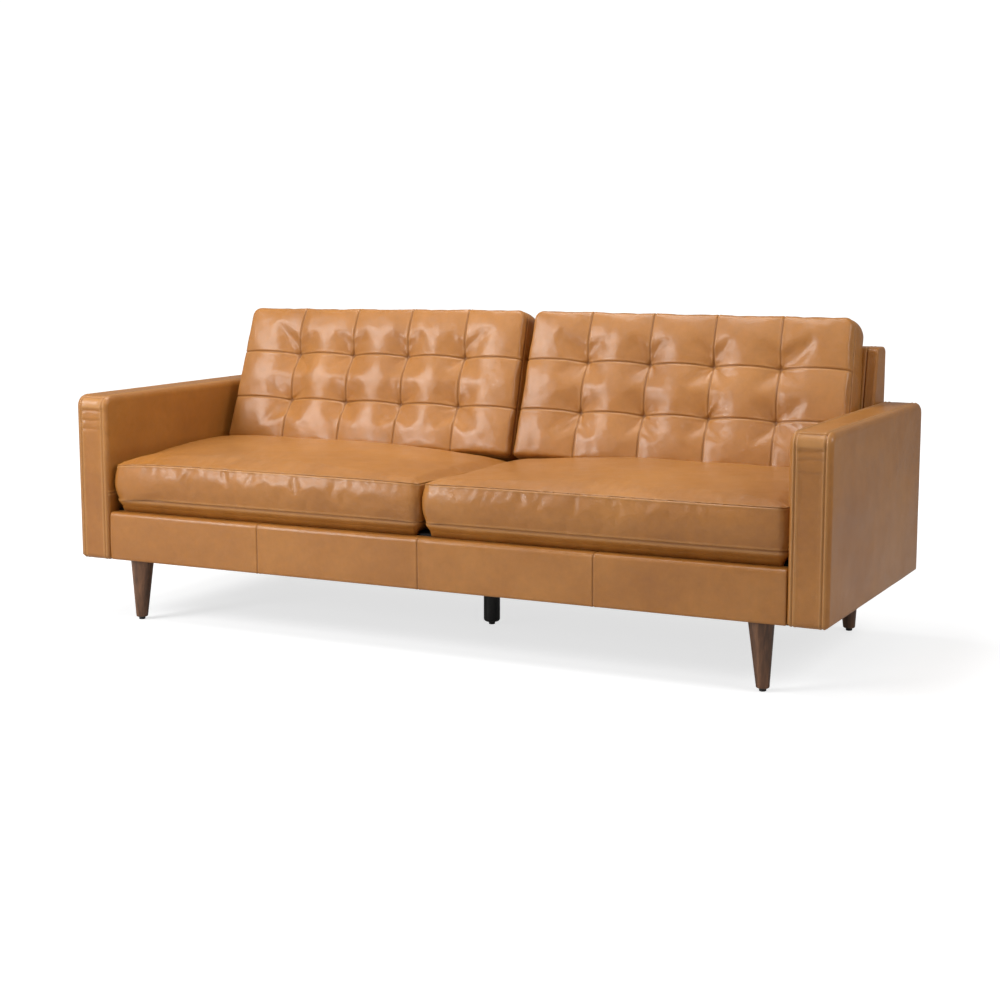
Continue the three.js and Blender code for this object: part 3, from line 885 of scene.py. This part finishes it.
def seat_cushion(side, sign, outer_droop):
    """A boxed, crowned cushion. u runs from the sofa's middle to the arm, v from front to back, w up."""
    low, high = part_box(f"seat_cushion_{side}_cover")
    inner, outer = (low[0], high[0]) if sign > 0 else (high[0], low[0])
    width = abs(outer - inner)
    crown = 25 * MM
    floor = low[2]
    bottom, top = SEAT_BAND
    corner = 28 * MM
    slab = Slab((0, width), (low[1], high[1]), (bottom, top), (corner,) * 4, 3 * MM)
    us = grid_lines(0, width, 10 * MM, (), corner)
    vs = grid_lines(low[1], high[1], 10 * MM, (), corner)
    ws = grid_lines(bottom, top, 9 * MM, (bottom, top), 3 * MM, fine=(3.0, 5.0, 9.0))
    u, v, w, quads = box_grid(us, vs, ws)
    place, normal = slab.surface(u, v, w)
    edge = np.min([u, width - u, v - low[1], high[1] - v], axis=0)
    on_top = (w > top - 1e-6) | (normal[:, 2] > 0.5)
    on_bottom = (w < bottom + 1e-6) | (normal[:, 2] < -0.5)
    boxing = np.abs(normal[:, 2]) < 0.5
    level = np.clip((place[:, 2] - bottom) / (top - bottom), 0, 1)
    # the inner end slopes gently, the end at the arm is squeezed up against it
    from_front, from_outer = v - low[1], width - u
    rise = 0.22 * (1 - np.exp(-u / 0.03)) + 0.78 * smooth(u / 0.45)
    rise *= 1 - 0.85 * np.exp(-from_outer / 0.10)
    rise *= (1 - np.exp(-from_outer / 0.012)) * (1 - np.exp(-from_front / 0.075))
    pressed = np.clip((v - BACK_PRESS_FROM) / (high[1] - BACK_PRESS_FROM), 0, 1) ** 1.4
    under_back = 34 * MM * pressed
    side_lift = 14 * MM * smooth((from_front - 0.1) / 0.35) * np.exp(-from_outer / 0.12)
    side_lift -= 9 * MM * (1 - np.exp(-from_front / 0.16)) * np.exp(-u / 0.06)
    droop = 5 * MM * np.exp(-u / 0.07) + outer_droop * np.exp(-from_outer / 0.09)
    seam_change = side_lift * (1 - pressed) - droop * np.exp(-from_front / 0.2) - under_back
    top_height = crown * rise * (1 - 0.5 * pressed) + seam_change
    low_droop = -0.9 * droop * np.exp(-from_front / 0.2) * (1 - level)
    turn = 1 - np.clip(edge / (30 * MM), 0, 1)
    bottom_height = -(bottom - floor) * (1 - turn ** 1.35)
    side_height = np.where(on_bottom, bottom_height, seam_change * level + low_droop)
    place[:, 2] += np.where(on_top, top_height, side_height)
    bow = 10 * MM * np.sin(math.pi * level) * boxing
    shift = bow - SEAT_INSET
    tuck = 6 * MM * np.clip(edge / (10 * MM), 0, 1)
    place[:, :2] += normal[:, :2] * shift[:, None]
    place[:, 1] += np.where(on_bottom & (from_front < 0.05), tuck, 0)
    pinch = np.exp(-u / 0.05) + np.exp(-from_outer / 0.05)
    place[:, 1] += 7 * MM * pinch * np.exp(-from_front / 0.05)
    place[:, 0] = inner + sign * place[:, 0]
    faces = quads if sign > 0 else quads[:, ::-1]
    made = new_object(f"seat_cushion_leather_{side}", place, faces)
    off_band = np.abs(normal[:, 2]) > 0.999
    to_top = np.where(off_band, np.where(on_top, edge / MM, 99), (top - w) / MM)
    to_bottom = np.where(off_band, np.where(on_bottom, edge / MM, 99), (w - bottom) / MM)
    set_values(made.data, "to_seam", np.minimum(np.minimum(to_top, to_bottom), 60))
    set_values(made.data, "below_seam", np.where(boxing, (top - w) / MM, 99))
    # paler where the top's crown rises
    set_values(made.data, "pale_raised", np.where(on_top, 0.3 * rise, 0))
    pins = np.where(np.minimum(to_top, to_bottom) < 1.2, 0.9, 0.0)
    pins = np.maximum(pins, np.where(on_bottom & (edge > 30 * MM), 0.9, 0))
    pins = np.maximum(pins, np.where((v > 0.150) & ~on_bottom, 0.8, 0))

    def finish():
        mesh = subdivided(made)
        finish_seat(mesh, (low, high), 41 + (sign > 0))
        across, along = (u - width / 2) / width, (v - (low[1] + high[1]) / 2) / (high[1] - low[1])
        round_it = np.arctan2(across, along)
        rows = []
        for height in (top - SEAT_STITCH_OFFSET, bottom + SEAT_STITCH_OFFSET):
            rows.append(seam_path(mesh, boxing & (np.abs(w - height) < 0.2 * MM), round_it))
        cushion_done(made, "seat_cushion", side, rows)

    return {"piece": made, "pins": pins, "finish": finish, **SEAT_CLOTH}


def finish_seat(mesh, box, seed):
    """Seam relief, puckers below the top seam and soft unevenness on the finished cushion."""
    low, high = box
    points, normals = get_points(mesh), get_normals(mesh)
    to_seam, below = get_values(mesh, "to_seam"), get_values(mesh, "below_seam")
    height = seam_relief(to_seam, groove=1.2, ridge=1.1)
    away = np.clip(to_seam / 30, 0, 1)
    height += away * (ripple(points, 0.20, seed) * 1.2 + ripple(points, 0.06, seed + 50) * 0.35)
    flat = points * np.array([1, 1, 0.12])
    puckers = ripple(flat, 0.024, seed + 7) * np.exp(-((below - 14) / 13) ** 2)
    height += 0.45 * np.where(below < 98, puckers, 0) * np.clip(to_seam / 8, 0, 1)
    points = points + normals * (height * MM)[:, None]
    points[:, 0] = np.clip(points[:, 0], low[0] + SEAT_PLAY, high[0] - SEAT_PLAY)
    points[:, 1] = np.clip(points[:, 1], low[1] - 12 * MM, high[1])
    # the bottom rests on the deck, and in front of it on the rail's top
    rest = np.where(points[:, 1] < RAIL_LIP, RAIL_TOP, low[2])
    near = np.where(points[:, 1] < RAIL_LIP, 8 * MM, 0)
    points[:, 2] = np.maximum(np.where(points[:, 2] < low[2] + near, rest, points[:, 2]), rest)
    set_points(mesh, points)
    # painted shade in the seam grooves, painted highlight on the ridges beside them
    set_values(mesh, "seam", seam_mark(to_seam))
    set_values(mesh, "pale_raised", np.maximum(get_values(mesh, "pale_raised"), ridge_mark(to_seam)))


BACK_RAKE = 0.333
BACK_COLUMNS = (0.193, 0.385, 0.575, 0.768)  # seams, from the sofa's middle
BACK_ROWS = (0.139, 0.284)  # seams, up the slope from the foot
BACK_ROLL = 10 * MM  # the front panel rolls over the edge with this radius
BACK_FOOT = (0.134, 0.458)  # y and z of the front panel's lower edge
BACK_TOP = 0.869
BACK_THICKNESS = (132 * MM, 90 * MM)  # at the foot and at the top
BACK_STITCH_OFFSET = 4 * MM
TUFT_DEPTH = 23 * MM
TUFT_REACH = 0.043
TUFT_CREASES = 9
ROW_BOW = 2.5 * MM  # the rows sag between the tufts by this much


def back_cushion(side, sign, slump):
    """A tufted cushion. u runs from the sofa's middle to the arm, v up the slope, w to the front."""
    low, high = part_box(f"back_cushion_{side}_cover")
    width = high[0] - low[0]
    lean = math.atan(BACK_RAKE)
    up = np.array([0, math.sin(lean), math.cos(lean)])
    out = np.array([0, -math.cos(lean), math.sin(lean)])
    foot = np.array([0, *BACK_FOOT])
    length = (BACK_TOP - foot[2]) / up[2]
    start = abs(low[0]) if sign > 0 else abs(high[0])
    columns = [column - start for column in BACK_COLUMNS]
    thick_foot, thick_top = BACK_THICKNESS
    corner = 30 * MM
    slab = Slab((0, width), (0, length), (0, thick_foot), (14 * MM, 22 * MM, corner, corner), BACK_ROLL)
    fine = (0.0, 4.0, 9.0)
    us = grid_lines(0, width, 9.5 * MM, columns, corner, fine=fine)
    vs = grid_lines(0, length, 9.5 * MM, BACK_ROWS, corner, fine=fine)
    rim_seam = thick_foot - BACK_ROLL
    ws = grid_lines(0, thick_foot, 10 * MM, (rim_seam,), BACK_ROLL, fine=fine)
    u, v, w, quads = box_grid(us, vs, ws)
    place, normal = slab.surface(u, v, w)
    front = normal[:, 2] > 0.02
    to_rim = np.min([u, width - u, v, length - v], axis=0)
    from_columns = np.abs(u[:, None] - np.array(columns)[None, :])
    from_rows = np.abs(v[:, None] - np.array(BACK_ROWS)[None, :])
    to_column, to_row = from_columns.min(axis=1), from_rows.min(axis=1)
    reach = np.hypot(to_column, to_row)
    tuft = np.exp(-((reach / TUFT_REACH) ** 1.15))
    valley = np.maximum(np.exp(-to_column / 0.011), np.exp(-to_row / 0.011))
    crown = (1 - np.abs(2 * u / width - 1) ** 3) * (1 - np.abs(2 * v / length - 1) ** 3)
    relief = 17 * MM + 6 * MM * crown - TUFT_DEPTH * tuft - 4.5 * MM * valley * (1 - tuft)
    fade = np.clip(normal[:, 2], 0, 1)
    level = np.clip(v / length, 0, 1)
    thickness = thick_foot + (thick_top - thick_foot) * level
    depth = place[:, 2] / thick_foot * thickness - thickness + np.where(front, relief * fade, 0)
    # the side boxing bows out, and the cushion narrows towards its top
    level_w = np.clip(w / rim_seam, 0, 1)
    bow = 5 * MM * np.sin(math.pi * level_w) * (normal[:, 2] < 0.5)
    across = place[:, 0] + normal[:, 0] * (bow - 2 * MM)
    narrow = 9 * MM * (1 - across / width) - 20 * MM * across / width
    across = across + narrow * level
    along = place[:, 1] + normal[:, 1] * (bow - 3 * MM)
    along -= slump * smooth(u / width) * level
    row_bow = ROW_BOW * (1 - np.exp(-((to_column / 0.045) ** 2)))
    along += row_bow * np.exp(-to_row / 0.035) * front * np.clip(to_rim / 0.05, 0, 1)
    inner = low[0] if sign > 0 else high[0]
    points = foot[None, :] + along[:, None] * up + depth[:, None] * out
    points[:, 0] = inner + sign * across
    faces = quads if sign > 0 else quads[:, ::-1]
    made = new_object(f"back_cushion_leather_{side}", points, faces)
    to_panel = np.where(front, np.minimum(to_column, to_row) / MM, 99)
    off_band = np.abs(normal[:, 2]) > 0.999
    to_boxing = np.where(off_band, 99, np.minimum(np.abs(w - rim_seam), w) / MM)
    to_seam = np.minimum(to_panel, to_boxing)
    set_values(made.data, "to_seam", np.minimum(to_seam, 60))
    set_values(made.data, "front", front.astype(float))
    # paler on the domes between the tufts
    set_values(made.data, "pale_raised", np.where(front, 0.3 * (1 - tuft), 0))
    pins = np.where(to_panel < 0.8, 0.2 + 0.8 * np.round(np.exp(-((reach / 0.03) ** 2)), 2), 0.0)
    pins = np.maximum(pins, np.where(to_boxing < 0.8, 0.6, 0.0))
    pins = np.maximum(pins, np.where(w < 1e-6, 1.0, 0))

    def finish():
        mesh = subdivided(made)
        tuft_places = []
        for column in columns:
            for row in BACK_ROWS:
                nearest = np.hypot(u - column, v - row) + np.where(off_band & front, 0, 1)
                tuft_places.append(int(np.argmin(nearest)))
        finish_back(mesh, tuft_places, up, 61 + (sign > 0))
        rows = []
        for column in columns:
            beside = np.abs(u - column - BACK_STITCH_OFFSET) < 0.2 * MM
            rows.append(seam_path(mesh, front & off_band & beside, v))
        for row in BACK_ROWS:
            beside = np.abs(v - row - BACK_STITCH_OFFSET) < 0.2 * MM
            rows.append(seam_path(mesh, front & off_band & beside, u))
        cushion_done(made, "back_cushion", side, rows)

    return {"piece": made, "pins": pins, "finish": finish, **BACK_CLOTH}


def finish_back(mesh, tuft_places, up, seed):
    """Seam relief, creases running out from each tuft and soft unevenness."""
    rng = np.random.default_rng(seed)
    points, normals = get_points(mesh), get_normals(mesh)
    to_seam, front = get_values(mesh, "to_seam"), get_values(mesh, "front")
    height = seam_relief(to_seam, groove=1.5, ridge=1.0)
    away = np.clip(to_seam / 30, 0, 1)
    height += away * (ripple(points, 0.11, seed) * 0.9 + ripple(points, 0.045, seed + 50) * 0.3)
    # painted shade in each tuft's dimple, added to the seam attribute below
    tuft_painted_shade = np.zeros(len(points))
    for middle in points[tuft_places]:
        offset = points - middle
        across, along = offset[:, 0], offset @ up
        reach = np.hypot(across, along)
        tuft_painted_shade = np.maximum(tuft_painted_shade, np.exp(-((reach / 0.009) ** 2)))
        height -= 3.0 * np.exp(-((reach / 0.010) ** 2)) * front
        for _ in range(TUFT_CREASES):
            angle = rng.uniform(0, 2 * math.pi)
            run = rng.uniform(0.035, 0.075)
            size = rng.uniform(0.7, 1.8)
            bend = rng.uniform(-3, 3)
            away_by = across * math.cos(angle) + along * math.sin(angle)
            aside = along * math.cos(angle) - across * math.sin(angle) + bend * away_by ** 2
            strength = size * np.clip(away_by / 0.012, 0, 1) * np.clip(1 - away_by / run, 0, 1)
            fold = np.exp(-((aside / 0.0032) ** 2)) - 0.7 * np.exp(-(((aside - 0.0065) / 0.004) ** 2))
            height -= strength * fold * front
    set_points(mesh, points + normals * (height * MM)[:, None])
    # painted shade in the seam grooves and tuft dimples, painted highlight on the ridges beside the seams
    set_values(mesh, "seam", np.clip(seam_mark(to_seam) + 0.4 * tuft_painted_shade, 0, 1))
    set_values(mesh, "pale_raised", np.maximum(get_values(mesh, "pale_raised"), 0.7 * ridge_mark(to_seam)))


cushions = [
    seat_cushion("left", -1, 14 * MM),
    seat_cushion("right", 1, 0),
    back_cushion("left", -1, 10 * MM),
    back_cushion("right", 1, 0),
]
inflate(cushions)
for cushion in cushions:
    cushion["finish"]()
